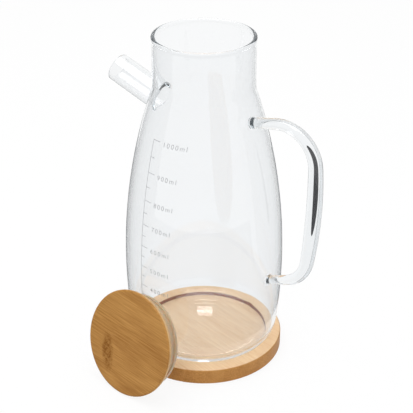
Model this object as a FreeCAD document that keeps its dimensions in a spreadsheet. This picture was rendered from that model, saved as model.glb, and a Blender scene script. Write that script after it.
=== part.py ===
import FreeCAD, Part
import math
import os
import Sketcher

# A clear glass pitcher with a pouring spout and a loop handle, its bamboo tray and its bamboo lid.
#
# The glass is one piece: a bellied bottle with an open neck, a straight spout on the left shoulder and a
# rod handle on the right. It stands in the shallow recess of a round bamboo tray. The lid is off: it stands
# on its edge on the table in front of the pitcher and leans back against the glass.
#
# Millimetres, +Z up, origin at the centre of the tray's underside. Handle along +X, spout along -X.

SHEET_ROWS = (
    # name, value, what it is
    ("belly_radius", 51.5, "outside of the glass at its widest"),
    ("belly_height", 67.6, "height of the widest place above the table"),
    ("lower_arc", 436.0, "radius of the side's curve below the widest place"),
    ("shoulder_arc", 372.0, "radius of the side's curve above the widest place"),
    ("neck_radius", 32.0, "outside of the neck"),
    ("neck_blend", 12.0, "radius of the hollow turn from shoulder to neck"),
    ("glass_top", 220.0, "top of the rim above the table"),
    ("wall", 2.0, "thickness of the glass"),
    ("floor_glass", 3.2, "thickness of the glass floor"),
    ("heel_radius", 16.0, "outside rounding between side and foot"),
    ("inner_heel_radius", 12.5, "inside rounding between side and floor"),
    ("foot_ring", 3.0, "width of the flat ring that the glass stands on"),
    ("push_up", 0.8, "rise of the underside within the foot ring"),
    ("rim_radius", 1.4, "half the thickness of the rounded rim"),
    ("spout_height", 171.6, "height of the spout's axis where it leaves the wall"),
    ("spout_rise", 19.4, "degrees that the spout points up"),
    ("spout_radius", 9.3, "outside of the spout"),
    ("spout_wall", 1.7, "thickness of the spout's glass"),
    ("spout_length", 35.0, "wall to mouth along the axis"),
    ("spout_weld", 1.8, "rounding where the spout is fused on"),
    ("mouth_round", 0.7, "rounding of the spout's cut end"),
    ("upper_joint_height", 171.9, "height of the handle's upper end at the wall"),
    ("upper_arm_slope", 13.0, "degrees that the upper arm rises outwards"),
    ("lower_joint_height", 66.6, "height of the handle's lower end at the wall"),
    ("lower_arm_slope", 19.0, "degrees that the lower arm rises outwards"),
    ("top_bend", 23.8, "radius of the handle's upper bend"),
    ("lower_bend", 21.8, "radius of the handle's lower bend"),
    ("grip_arc", 340.0, "radius of the grip's slight bow"),
    ("grip_height", 138.0, "height where the grip stands furthest out"),
    ("grip_reach", 31.5, "widest glass to the grip's centre line"),
    ("upper_arm_rod", 3.45, "rod radius at the upper arm"),
    ("grip_top_rod", 4.5, "rod radius at the grip's top"),
    ("grip_end_rod", 4.0, "rod radius at the grip's lower end"),
    ("lower_arm_rod", 3.05, "rod radius at the lower arm"),
    ("handle_weld", 1.2, "rounding where the handle is fused on"),
    ("tray_thickness", 10.5, "thickness of the tray"),
    ("tray_recess", 3.1, "depth of the tray's recess"),
    ("tray_rim", 9.0, "width of the tray's flat rim"),
    ("tray_round", 0.9, "rounding of the tray's outer edges"),
    ("recess_round", 0.4, "rounding of the recess's edge"),
    ("tray_gap", 0.5, "room between glass and recess wall"),
    ("lid_overhang", 2.4, "lid's edge beyond the neck's outside"),
    ("lid_disc", 6.0, "thickness of the lid's disc"),
    ("lid_band", 2.6, "straight part of the disc's side"),
    ("lid_taper", 3.4, "disc's side drawn in towards its back"),
    ("lid_face_round", 1.2, "rounding of the face's edge"),
    ("lid_side_round", 3.0, "rounding between band and taper"),
    ("plug_length", 7.5, "length of the plug behind the disc"),
    ("plug_inset", 1.6, "bore of the neck to the plug's wood"),
    ("seal_squeeze", 0.3, "seal's lips beyond the bore of the neck"),
    ("seal_start", 0.9, "disc's back to the seal"),
    ("plug_tip", 0.5, "plug's wood beyond the seal"),
    ("lip_length", 1.9, "length of each of the seal's two lips"),
    ("lip_height", 1.0, "height of the lips above the seal's band"),
    ("lid_lean", 16.4, "degrees that the lid leans back"),
    ("lid_azimuth", -94.5, "direction in which the lid's face looks"),
    ("lid_gap", 0.3, "lid's plug to the glass that it leans on"),
)
SIZE = {row[0]: row[1] for row in SHEET_ROWS}
ROD_SECTIONS = (
    # edge of the handle's centre line, which end of it, rod radius there
    ("Edge1", 0.0, "upper_arm_rod"),
    ("Edge1", 1.0, "upper_arm_rod"),
    ("Edge3", 1.0, "grip_top_rod"),
    ("Edge3", 0.0, "grip_end_rod"),
    ("Edge5", 1.0, "lower_arm_rod"),
    ("Edge5", 0.0, "lower_arm_rod"),
)
ORIGIN_POINT = (-1, 1)
LEVEL_AXIS, UPRIGHT_AXIS = -1, -2
START, END, CENTRE = 1, 2, 3
INSIDE_REACH = 12.0   # how far the spout's cylinders start inside the wall
CUT_BEYOND = 2.0      # how far a cutting tool runs past what it cuts
SAME_PLACE = 1e-6

doc = FreeCAD.newDocument("pitcher")
sheet = doc.addObject("Spreadsheet::Sheet", "dims")


def fill_sheet():
    for row, (name, value, note) in enumerate(SHEET_ROWS, start=1):
        sheet.set(f"A{row}", name)
        sheet.set(f"B{row}", str(value))
        sheet.set(f"C{row}", note)
        sheet.setAlias(f"B{row}", name)
    doc.recompute()


def d(name):
    """The sheet's cell of that name, as an expression in millimetres."""
    return f"dims.{name} * 1 mm"


def side_radius(height, arc):
    """Expression for the outside radius of the glass at a named height on one of the side's two arcs."""
    drop = f"pow(dims.{arc}; 2) - pow(dims.{height} - dims.belly_height; 2)"
    return f"(dims.belly_radius - dims.{arc} + sqrt({drop}))"


def side_radius_value(height, arc):
    drop = SIZE[arc] ** 2 - (SIZE[height] - SIZE["belly_height"]) ** 2
    return SIZE["belly_radius"] - SIZE[arc] + math.sqrt(drop)


FOOT_HEIGHT = "(dims.tray_thickness - dims.tray_recess)"
HEEL_CENTRE = (
    "(dims.belly_radius - dims.lower_arc + sqrt(pow(dims.lower_arc - dims.heel_radius; 2)"
    f" - pow(dims.belly_height - {FOOT_HEIGHT} - dims.heel_radius; 2)))"
)
RECESS_RADIUS = (
    f"({HEEL_CENTRE} + sqrt(pow(dims.heel_radius; 2) - pow(dims.heel_radius - dims.tray_recess; 2))"
    " + dims.tray_gap)"
)


def new_body(name):
    body = doc.addObject("PartDesign::Body", name)
    body.Label = name
    return body


def new_sketch(body, name, role="XZ_Plane"):
    sketch = body.newObject("Sketcher::SketchObject", name)
    plane = [item for item in body.Origin.OriginFeatures if item.Role == role][0]
    sketch.AttachmentSupport = [(plane, "")]
    sketch.MapMode = "FlatFace"
    return sketch


def line(x0, y0, x1, y1):
    return Part.LineSegment(FreeCAD.Vector(x0, y0, 0), FreeCAD.Vector(x1, y1, 0))


def arc(x, y, radius, start_deg, end_deg):
    circle = Part.Circle(FreeCAD.Vector(x, y, 0), FreeCAD.Vector(0, 0, 1), radius)
    return Part.ArcOfCircle(circle, math.radians(start_deg), math.radians(end_deg))


def tie(sketch, kind, *where):
    sketch.addConstraint(Sketcher.Constraint(kind, *where))


def size(sketch, name, kind, *where, value, expression):
    """A named dimension of a sketch, bound to the sheet."""
    index = sketch.addConstraint(Sketcher.Constraint(kind, *where, value))
    sketch.renameConstraint(index, name)
    sketch.setExpression(f"Constraints.{name}", expression)


def revolve(body, kind, sketch, name):
    feature = body.newObject(kind, name)
    feature.Profile = sketch
    feature.ReferenceAxis = (sketch, ["V_Axis"])
    feature.Angle = 360.0
    sketch.Visibility = False
    doc.recompute()
    return feature


def edges_near(feature, centre, reach):
    """Names of the edges of a feature whose middle lies within reach of a point."""
    names = []
    for index, edge in enumerate(feature.Shape.Edges, start=1):
        if (edge.BoundBox.Center - centre).Length < reach:
            names.append(f"Edge{index}")
    return names


def fillet(body, base, edges, radius, name):
    feature = body.newObject("PartDesign::Fillet", name)
    feature.Base = (base, edges)
    feature.setExpression("Radius", d(radius))
    doc.recompute()
    return feature


# ---------------------------------------------------------------------------------------------------- glass
def bottle_outline(body, name, inset, bottom, heel, top):
    """Half outline of the bottle's outside, or of its cavity when it is set in by the wall.

    Each of inset, bottom, heel and top is a pair: its value now and its expression.
    """
    inset_value, inset_text = inset
    bottom_value, bottom_text = bottom
    heel_value, heel_text = heel
    top_value, top_text = top
    belly = SIZE["belly_radius"] - inset_value
    lower = SIZE["lower_arc"] - inset_value
    upper = SIZE["shoulder_arc"] - inset_value
    neck = SIZE["neck_radius"] - inset_value
    blend = SIZE["neck_blend"] + inset_value
    mid = SIZE["belly_height"]
    blend_drop = math.sqrt((upper + blend) ** 2 - (neck + blend - belly + upper) ** 2)
    blend_angle = math.degrees(math.atan2(blend_drop, neck + blend - belly + upper))
    heel_drop = mid - bottom_value - heel_value
    heel_x = belly - lower + math.sqrt((lower - heel_value) ** 2 - heel_drop ** 2)
    heel_angle = math.degrees(math.atan2(heel_drop, heel_x - belly + lower))
    ring_x = heel_x - SIZE["foot_ring"]
    rise = SIZE["push_up"]
    dome = (ring_x ** 2 + rise ** 2) / (2 * rise)
    dome_y = bottom_value + rise - dome
    ring_angle = math.degrees(math.atan2(bottom_value - dome_y, ring_x))

    sketch = new_sketch(body, name)
    axis = sketch.addGeometry(line(0, bottom_value + rise, 0, top_value))
    lid_line = sketch.addGeometry(line(0, top_value, neck, top_value))
    neck_line = sketch.addGeometry(line(neck, top_value, neck, mid + blend_drop))
    turn = sketch.addGeometry(arc(neck + blend, mid + blend_drop, blend, 180, 180 + blend_angle))
    shoulder = sketch.addGeometry(arc(belly - upper, mid, upper, 0, blend_angle))
    flank = sketch.addGeometry(arc(belly - lower, mid, lower, -heel_angle, 0))
    heel_arc = sketch.addGeometry(arc(heel_x, bottom_value + heel_value, heel_value, -90, -heel_angle))
    ring = sketch.addGeometry(line(ring_x, bottom_value, heel_x, bottom_value))
    underside = sketch.addGeometry(arc(0, dome_y, dome, ring_angle, 90))

    tie(sketch, "Coincident", axis, START, underside, END)
    tie(sketch, "Coincident", axis, END, lid_line, START)
    tie(sketch, "Coincident", lid_line, END, neck_line, START)
    tie(sketch, "Tangent", neck_line, END, turn, START)
    tie(sketch, "Tangent", turn, END, shoulder, END)
    tie(sketch, "Coincident", shoulder, START, flank, END)
    tie(sketch, "Tangent", flank, START, heel_arc, END)
    tie(sketch, "Tangent", heel_arc, START, ring, END)
    tie(sketch, "Coincident", ring, START, underside, START)
    tie(sketch, "PointOnObject", axis, START, UPRIGHT_AXIS)
    tie(sketch, "PointOnObject", axis, END, UPRIGHT_AXIS)
    tie(sketch, "PointOnObject", underside, CENTRE, UPRIGHT_AXIS)
    tie(sketch, "Horizontal", lid_line)
    tie(sketch, "Vertical", neck_line)
    tie(sketch, "Horizontal", ring)
    tie(sketch, "Horizontal", shoulder, CENTRE, shoulder, START)
    tie(sketch, "Horizontal", flank, CENTRE, flank, END)
    size(sketch, "belly_x", "DistanceX", *ORIGIN_POINT, flank, END,
         value=belly, expression=f"dims.belly_radius * 1 mm - {inset_text}")
    size(sketch, "belly_y", "DistanceY", *ORIGIN_POINT, flank, END, value=mid, expression=d("belly_height"))
    size(sketch, "lower_r", "Radius", flank, value=lower,
         expression=f"dims.lower_arc * 1 mm - {inset_text}")
    size(sketch, "upper_r", "Radius", shoulder, value=upper,
         expression=f"dims.shoulder_arc * 1 mm - {inset_text}")
    size(sketch, "turn_r", "Radius", turn, value=blend,
         expression=f"dims.neck_blend * 1 mm + {inset_text}")
    size(sketch, "neck_x", "DistanceX", *ORIGIN_POINT, lid_line, END,
         value=neck, expression=f"dims.neck_radius * 1 mm - {inset_text}")
    size(sketch, "top_y", "DistanceY", *ORIGIN_POINT, lid_line, END, value=top_value, expression=top_text)
    size(sketch, "heel_r", "Radius", heel_arc, value=heel_value, expression=heel_text)
    size(sketch, "bottom_y", "DistanceY", *ORIGIN_POINT, ring, END,
         value=bottom_value, expression=bottom_text)
    size(sketch, "ring_w", "DistanceX", ring, START, ring, END,
         value=SIZE["foot_ring"], expression=d("foot_ring"))
    size(sketch, "rise_y", "DistanceY", ring, START, axis, START, value=rise, expression=d("push_up"))
    return sketch


def bend_centre(foot_x, foot_y, slope_deg, side, bend, grip_x, grip_y):
    """Centre of the bend that leads from a straight arm into the grip's arc."""
    slope = math.radians(slope_deg)
    along = (math.cos(slope), math.sin(slope))
    base_x = foot_x - side * bend * along[1] - grip_x
    base_y = foot_y + side * bend * along[0] - grip_y
    half = base_x * along[0] + base_y * along[1]
    rest = base_x ** 2 + base_y ** 2 - (SIZE["grip_arc"] - bend) ** 2
    run = -half + math.sqrt(half ** 2 - rest)
    return base_x + grip_x + run * along[0], base_y + grip_y + run * along[1]


def handle_path(body):
    """Centre line of the handle: arm, bend, bowed grip, bend and arm, tangent all the way."""
    buried = 2 * SIZE["wall"]
    top_x = side_radius_value("upper_joint_height", "shoulder_arc") - buried
    low_x = side_radius_value("lower_joint_height", "lower_arc") - buried
    top_y = SIZE["upper_joint_height"] - buried * math.tan(math.radians(SIZE["upper_arm_slope"]))
    low_y = SIZE["lower_joint_height"] - buried * math.tan(math.radians(SIZE["lower_arm_slope"]))
    grip_x = SIZE["belly_radius"] + SIZE["grip_reach"] - SIZE["grip_arc"]
    grip_y = SIZE["grip_height"]
    top_c = bend_centre(top_x, top_y, SIZE["upper_arm_slope"], -1, SIZE["top_bend"], grip_x, grip_y)
    low_c = bend_centre(low_x, low_y, SIZE["lower_arm_slope"], 1, SIZE["lower_bend"], grip_x, grip_y)
    top_angle = math.degrees(math.atan2(top_c[1] - grip_y, top_c[0] - grip_x))
    low_angle = math.degrees(math.atan2(low_c[1] - grip_y, low_c[0] - grip_x))

    bend_top = arc(*top_c, SIZE["top_bend"], top_angle, 90 + SIZE["upper_arm_slope"])
    grip = arc(grip_x, grip_y, SIZE["grip_arc"], low_angle, top_angle)
    bend_low = arc(*low_c, SIZE["lower_bend"], SIZE["lower_arm_slope"] - 90, low_angle)
    arm_top = line(top_x, top_y, bend_top.EndPoint.x, bend_top.EndPoint.y)
    arm_low = line(low_x, low_y, bend_low.StartPoint.x, bend_low.StartPoint.y)

    sketch = new_sketch(body, "handle_path")
    a_top, b_top, g_mid, b_low, a_low = [
        sketch.addGeometry(item) for item in (arm_top, bend_top, grip, bend_low, arm_low)
    ]
    tie(sketch, "Tangent", a_top, END, b_top, END)
    tie(sketch, "Tangent", b_top, START, g_mid, END)
    tie(sketch, "Tangent", g_mid, START, b_low, END)
    tie(sketch, "Tangent", b_low, START, a_low, END)
    top_radius = side_radius("upper_joint_height", "shoulder_arc")
    low_radius = side_radius("lower_joint_height", "lower_arc")
    size(sketch, "top_x", "DistanceX", *ORIGIN_POINT, a_top, START,
         value=top_x, expression=f"({top_radius} - 2 * dims.wall) * 1 mm")
    size(sketch, "top_y", "DistanceY", *ORIGIN_POINT, a_top, START, value=top_y,
         expression="(dims.upper_joint_height - 2 * dims.wall * tan(dims.upper_arm_slope * 1 deg)) * 1 mm")
    size(sketch, "low_x", "DistanceX", *ORIGIN_POINT, a_low, START,
         value=low_x, expression=f"({low_radius} - 2 * dims.wall) * 1 mm")
    size(sketch, "low_y", "DistanceY", *ORIGIN_POINT, a_low, START, value=low_y,
         expression="(dims.lower_joint_height - 2 * dims.wall * tan(dims.lower_arm_slope * 1 deg)) * 1 mm")
    size(sketch, "top_slope", "Angle", a_top, value=math.radians(SIZE["upper_arm_slope"]),
         expression="dims.upper_arm_slope * 1 deg")
    size(sketch, "low_slope", "Angle", a_low, value=math.radians(SIZE["lower_arm_slope"]),
         expression="dims.lower_arm_slope * 1 deg")
    size(sketch, "top_r", "Radius", b_top, value=SIZE["top_bend"], expression=d("top_bend"))
    size(sketch, "grip_r", "Radius", g_mid, value=SIZE["grip_arc"], expression=d("grip_arc"))
    size(sketch, "low_r", "Radius", b_low, value=SIZE["lower_bend"], expression=d("lower_bend"))
    size(sketch, "grip_cx", "DistanceX", g_mid, CENTRE, *ORIGIN_POINT,
         value=-grip_x, expression="(dims.grip_arc - dims.belly_radius - dims.grip_reach) * 1 mm")
    size(sketch, "grip_cy", "DistanceY", *ORIGIN_POINT, g_mid, CENTRE,
         value=grip_y, expression=d("grip_height"))
    return sketch


def rod_section(body, path, edge, place, radius, name):
    """A round section of the handle's rod, square to its centre line at one end of an edge."""
    sketch = body.newObject("Sketcher::SketchObject", name)
    sketch.AttachmentSupport = [(path, edge)]
    sketch.MapMode = "NormalToEdge"
    sketch.MapPathParameter = place
    circle = sketch.addGeometry(Part.Circle(FreeCAD.Vector(), FreeCAD.Vector(0, 0, 1), SIZE[radius]))
    tie(sketch, "Coincident", circle, CENTRE, *ORIGIN_POINT)
    size(sketch, "rod", "Radius", circle, value=SIZE[radius], expression=d(radius))
    sketch.Visibility = False
    return sketch


def add_handle(body):
    path = handle_path(body)
    doc.recompute()
    sections = [
        rod_section(body, path, edge, place, radius, f"rod_section_{index}")
        for index, (edge, place, radius) in enumerate(ROD_SECTIONS, start=1)
    ]
    doc.recompute()
    pipe = body.newObject("PartDesign::AdditivePipe", "handle_rod")
    pipe.Profile = sections[0]
    pipe.Spine = (path, [f"Edge{index}" for index in range(1, 6)])
    pipe.Transformation = "Multisection"
    pipe.Sections = [(section, [""]) for section in sections[1:]]
    path.Visibility = False
    doc.recompute()
    return pipe


def spout_cylinder(body, kind, name, radius, length):
    """A cylinder along the spout's axis that starts inside the wall."""
    feature = body.newObject(kind, name)
    feature.Placement = FreeCAD.Placement(
        FreeCAD.Vector(), FreeCAD.Rotation(FreeCAD.Vector(0, 1, 0), SIZE["spout_rise"] - 90)
    )
    start = side_radius("spout_height", "shoulder_arc")
    feature.setExpression(
        "Placement.Base.x", f"(-{start} + {INSIDE_REACH} * cos(dims.spout_rise * 1 deg)) * 1 mm")
    feature.setExpression(
        "Placement.Base.z", f"(dims.spout_height - {INSIDE_REACH} * sin(dims.spout_rise * 1 deg)) * 1 mm")
    feature.setExpression("Placement.Rotation.Angle", "dims.spout_rise * 1 deg - 90 deg")
    feature.setExpression("Radius", radius)
    feature.setExpression("Height", length)
    doc.recompute()
    return feature


def make_glass():
    body = new_body("glass_pitcher")
    foot = SIZE["tray_thickness"] - SIZE["tray_recess"]
    outside = bottle_outline(
        body, "outside_outline", (0.0, "0 mm"), (foot, f"{FOOT_HEIGHT} * 1 mm"),
        (SIZE["heel_radius"], d("heel_radius")),
        (SIZE["glass_top"] - SIZE["rim_radius"], "(dims.glass_top - dims.rim_radius) * 1 mm"))
    revolve(body, "PartDesign::Revolution", outside, "bottle_outside")

    spout_cylinder(body, "PartDesign::AdditiveCylinder", "spout_outside", d("spout_radius"),
                   f"(dims.spout_length + {INSIDE_REACH}) * 1 mm")
    handle = add_handle(body)

    wall_x = side_radius_value("spout_height", "shoulder_arc")
    spout_root = FreeCAD.Vector(-wall_x, 0, SIZE["spout_height"])
    rise = math.radians(SIZE["spout_rise"])
    mouth = spout_root + FreeCAD.Vector(-math.cos(rise), 0, math.sin(rise)) * SIZE["spout_length"]
    welded = fillet(body, handle, edges_near(handle, spout_root, SIZE["spout_radius"] / 2),
                    "spout_weld", "spout_weld")
    for height, side in (("upper_joint_height", "shoulder_arc"), ("lower_joint_height", "lower_arc")):
        root = FreeCAD.Vector(side_radius_value(height, side), 0, SIZE[height])
        welded = fillet(body, welded, edges_near(welded, root, SIZE["lower_arm_rod"]),
                        "handle_weld", f"weld_{height}")

    cavity = bottle_outline(
        body, "cavity_outline", (SIZE["wall"], d("wall")),
        (foot + SIZE["floor_glass"], f"({FOOT_HEIGHT} + dims.floor_glass) * 1 mm"),
        (SIZE["inner_heel_radius"], d("inner_heel_radius")),
        (SIZE["glass_top"] + CUT_BEYOND, f"(dims.glass_top + {CUT_BEYOND}) * 1 mm"))
    revolve(body, "PartDesign::Groove", cavity, "bottle_cavity")
    bore = spout_cylinder(body, "PartDesign::SubtractiveCylinder", "spout_bore",
                          "(dims.spout_radius - dims.spout_wall) * 1 mm",
                          f"(dims.spout_length + {INSIDE_REACH + CUT_BEYOND}) * 1 mm")
    fillet(body, bore, edges_near(bore, mouth, SIZE["spout_wall"] / 2), "mouth_round", "spout_mouth")

    rim = body.newObject("PartDesign::AdditiveTorus", "rounded_rim")
    rim.setExpression("Radius2", d("rim_radius"))
    rim.setExpression("Radius1", "(dims.neck_radius - dims.wall / 2) * 1 mm")
    rim.setExpression("Placement.Base.z", "(dims.glass_top - dims.rim_radius) * 1 mm")
    doc.recompute()
    return body


# ----------------------------------------------------------------------------------------------------- tray
def disc_sketch(body, name, radius_value, radius_text, height_text):
    sketch = new_sketch(body, name, "XY_Plane")
    circle = sketch.addGeometry(Part.Circle(FreeCAD.Vector(), FreeCAD.Vector(0, 0, 1), radius_value))
    tie(sketch, "Coincident", circle, CENTRE, *ORIGIN_POINT)
    size(sketch, "disc_r", "Radius", circle, value=radius_value, expression=radius_text)
    sketch.setExpression("AttachmentOffset.Base.z", height_text)
    sketch.Visibility = False
    return sketch


def circles_at(feature, height):
    """Names of the level circular edges at a height, the smallest first."""
    found = []
    for index, edge in enumerate(feature.Shape.Edges, start=1):
        box = edge.BoundBox
        if box.ZLength < SAME_PLACE and abs(box.ZMin - height) < SAME_PLACE:
            found.append((box.XLength, f"Edge{index}"))
    return [name for width, name in sorted(found)]


def make_tray():
    body = new_body("bamboo_tray")
    recess = SIZE["belly_radius"] - SIZE["heel_radius"] + SIZE["tray_gap"]
    outer = disc_sketch(body, "tray_circle", recess + SIZE["tray_rim"],
                        f"({RECESS_RADIUS} + dims.tray_rim) * 1 mm", "0 mm")
    pad = body.newObject("PartDesign::Pad", "tray_disc")
    pad.Profile = outer
    pad.setExpression("Length", d("tray_thickness"))
    doc.recompute()
    edges = circles_at(pad, 0.0) + circles_at(pad, SIZE["tray_thickness"])
    eased = fillet(body, pad, edges, "tray_round", "tray_edges")
    inner = disc_sketch(body, "recess_circle", recess, f"{RECESS_RADIUS} * 1 mm", d("tray_thickness"))
    pocket = body.newObject("PartDesign::Pocket", "tray_recess")
    pocket.Profile = inner
    pocket.setExpression("Length", d("tray_recess"))
    doc.recompute()
    if pocket.Shape.Volume >= eased.Shape.Volume:
        raise RuntimeError("the tray's recess cut nothing")
    recess_edge = circles_at(pocket, SIZE["tray_thickness"])[0]
    fillet(body, pocket, [recess_edge], "recess_round", "recess_edge")
    return body


# ------------------------------------------------------------------------------------------------------ lid
PLUG_RADIUS = "dims.neck_radius - dims.wall - dims.plug_inset"
LIP_RADIUS = "dims.neck_radius - dims.wall + dims.seal_squeeze"


def closed_outline(body, name, corners):
    """A closed sketch of straight lines. Each corner is x, y and the expressions that they are bound to."""
    sketch = new_sketch(body, name)
    count = len(corners)
    for start, end in zip(corners, corners[1:] + corners[:1]):
        sketch.addGeometry(line(*start[:2], *end[:2]))
    for index in range(count):
        tie(sketch, "Coincident", (index - 1) % count, END, index, START)
    for index, (x, y, x_text, y_text) in enumerate(corners):
        place_point(sketch, index, "X", x, x_text)
        place_point(sketch, index, "Y", y, y_text)
    sketch.Visibility = False
    return sketch


def place_point(sketch, index, axis, value, text):
    """Hold one coordinate of a line's start: on the other axis when it is zero, else at a named size."""
    if text == "0":
        tie(sketch, "PointOnObject", index, START, UPRIGHT_AXIS if axis == "X" else LEVEL_AXIS)
        return
    ends = (*ORIGIN_POINT, index, START)
    sign = ""
    if value < 0:
        ends = (index, START, *ORIGIN_POINT)
        sign = "-"
    size(sketch, f"{axis.lower()}{index}", f"Distance{axis}", *ends,
         value=abs(value), expression=f"{sign}({text}) * 1 mm")


def lid_placement(body):
    """Stand the lid on its edge and lean it back on the glass.

    The lid is drawn with its face at local z = 0 looking along +z and its plug below.
    """
    lean = "dims.lid_lean * 1 deg"
    azimuth = "dims.lid_azimuth * 1 deg"
    edge = "(dims.neck_radius + dims.lid_overhang)"
    depth = "(dims.lid_disc + dims.plug_length)"
    wood_out = f"{depth} * cos({lean}) + ({PLUG_RADIUS}) * sin({lean})"
    seal_out = f"({depth} - dims.plug_tip) * cos({lean}) + ({LIP_RADIUS}) * sin({lean})"
    out = f"(dims.belly_radius + dims.lid_gap + max({wood_out}; {seal_out}))"
    taper = "atan(dims.lid_taper / (dims.lid_disc - dims.lid_band))"
    up = (f"(({edge} - dims.lid_side_round) * cos({lean}) + dims.lid_side_round"
          f" + (dims.lid_band - dims.lid_side_round * tan({taper} / 2)) * sin({lean}))")
    base = f"create(<<vector>>; {out} * cos({azimuth}); {out} * sin({azimuth}); {up})"
    turn = f"create(<<rotation>>; {azimuth}; 90 deg - {lean}; 0 deg)"
    body.setExpression("Placement", f"create(<<placement>>; {base}; {turn})")


def make_lid_wood():
    body = new_body("bamboo_lid")
    edge = SIZE["neck_radius"] + SIZE["lid_overhang"]
    plug = SIZE["neck_radius"] - SIZE["wall"] - SIZE["plug_inset"]
    edge_text = "dims.neck_radius + dims.lid_overhang"
    disc = SIZE["lid_disc"]
    depth = disc + SIZE["plug_length"]
    depth_text = "dims.lid_disc + dims.plug_length"
    outline = closed_outline(body, "lid_outline", (
        (0, 0, "0", "0"),
        (edge, 0, edge_text, "0"),
        (edge, -SIZE["lid_band"], edge_text, "-dims.lid_band"),
        (edge - SIZE["lid_taper"], -disc, f"{edge_text} - dims.lid_taper", "-dims.lid_disc"),
        (plug, -disc, PLUG_RADIUS, "-dims.lid_disc"),
        (plug, -depth, PLUG_RADIUS, f"-({depth_text})"),
        (0, -depth, "0", f"-({depth_text})"),
    ))
    turned = revolve(body, "PartDesign::Revolution", outline, "lid_turned")
    face = fillet(body, turned, circles_at(turned, 0.0), "lid_face_round", "lid_face_edge")
    fillet(body, face, circles_at(face, -SIZE["lid_band"]), "lid_side_round", "lid_side_edge")
    lid_placement(body)
    return body


def make_lid_seal():
    body = new_body("lid_seal")
    bore = SIZE["neck_radius"] - SIZE["wall"]
    inner = bore - SIZE["plug_inset"]
    lip = bore + SIZE["seal_squeeze"]
    band = lip - SIZE["lip_height"]
    top = -SIZE["lid_disc"] - SIZE["seal_start"]
    low = -SIZE["lid_disc"] - SIZE["plug_length"] + SIZE["plug_tip"]
    step = SIZE["lip_length"]
    band_text = f"{LIP_RADIUS} - dims.lip_height"
    top_text = "-dims.lid_disc - dims.seal_start"
    low_text = "-dims.lid_disc - dims.plug_length + dims.plug_tip"
    outline = closed_outline(body, "seal_outline", (
        (inner, top, PLUG_RADIUS, top_text),
        (lip, top, LIP_RADIUS, top_text),
        (lip, top - step, LIP_RADIUS, f"{top_text} - dims.lip_length"),
        (band, top - step, band_text, f"{top_text} - dims.lip_length"),
        (band, low + step, band_text, f"{low_text} + dims.lip_length"),
        (lip, low + step, LIP_RADIUS, f"{low_text} + dims.lip_length"),
        (lip, low, LIP_RADIUS, low_text),
        (inner, low, PLUG_RADIUS, low_text),
    ))
    revolve(body, "PartDesign::Revolution", outline, "seal_turned")
    lid_placement(body)
    return body


def check_and_write(bodies):
    doc.recompute()
    for item in doc.Objects:
        if "Invalid" in item.State or "Error" in item.State:
            raise RuntimeError(f"{item.Name} failed: {item.State}")
    os.makedirs("parts", exist_ok=True)
    for body in bodies:
        shape = body.Shape
        if shape.isNull() or not shape.isValid() or len(shape.Solids) != 1:
            raise RuntimeError(f"{body.Label} is not one valid solid")
        shape.exportStep(f"parts/{body.Label}.step")
        box = shape.optimalBoundingBox()
        print(f"{body.Label}: {shape.Volume / 1000:.1f} cm3, x {box.XMin:.1f}..{box.XMax:.1f},"
              f" y {box.YMin:.1f}..{box.YMax:.1f}, z {box.ZMin:.2f}..{box.ZMax:.2f}")


fill_sheet()
check_and_write([make_glass(), make_tray(), make_lid_wood(), make_lid_seal()])
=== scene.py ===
import math

import bmesh
import bpy
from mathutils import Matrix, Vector


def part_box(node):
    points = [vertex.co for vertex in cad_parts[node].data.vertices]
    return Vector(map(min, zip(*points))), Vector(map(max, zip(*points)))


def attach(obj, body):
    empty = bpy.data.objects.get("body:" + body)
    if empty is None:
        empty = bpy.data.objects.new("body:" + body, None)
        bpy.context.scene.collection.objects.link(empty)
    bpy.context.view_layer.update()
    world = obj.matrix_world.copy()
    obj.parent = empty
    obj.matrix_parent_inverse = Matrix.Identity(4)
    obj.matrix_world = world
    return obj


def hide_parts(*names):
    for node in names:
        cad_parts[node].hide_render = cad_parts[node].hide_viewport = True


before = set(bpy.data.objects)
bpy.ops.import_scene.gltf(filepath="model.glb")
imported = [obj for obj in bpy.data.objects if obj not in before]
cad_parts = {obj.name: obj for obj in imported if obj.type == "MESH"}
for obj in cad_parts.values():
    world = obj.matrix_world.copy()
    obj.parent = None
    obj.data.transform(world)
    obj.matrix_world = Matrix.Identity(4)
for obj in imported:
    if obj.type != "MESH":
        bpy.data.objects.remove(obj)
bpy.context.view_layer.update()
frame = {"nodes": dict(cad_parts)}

# A clear glass pitcher on its bamboo tray, with the bamboo lid leaning on it, on a pale studio floor.
# The frame is in metres, +Z up. The handle lies along +X, the spout along -X and the lid in front, along -Y.
# The shapes and patterns of the glass and bamboo are given in millimetres, and MM brings them to metres.

MM = 0.001


def unit(azimuth, elevation):
    """Direction as a unit vector, from an azimuth and an elevation in radians."""
    level = math.cos(elevation)
    return Vector((level * math.cos(azimuth), level * math.sin(azimuth), math.sin(elevation)))


def link(name, data):
    """A new object in the scene."""
    made = bpy.data.objects.new(name, data)
    bpy.context.scene.collection.objects.link(made)
    return made


def link_mesh(name, mesh):
    """A new object in the scene from a finished mesh, with its faces turned outward."""
    bmesh.ops.recalc_face_normals(mesh, faces=mesh.faces)
    data = bpy.data.meshes.new(name)
    mesh.to_mesh(data)
    mesh.free()
    return link(name, data)


def give(piece, material):
    piece.data.materials.clear()
    piece.data.materials.append(material)


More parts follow.
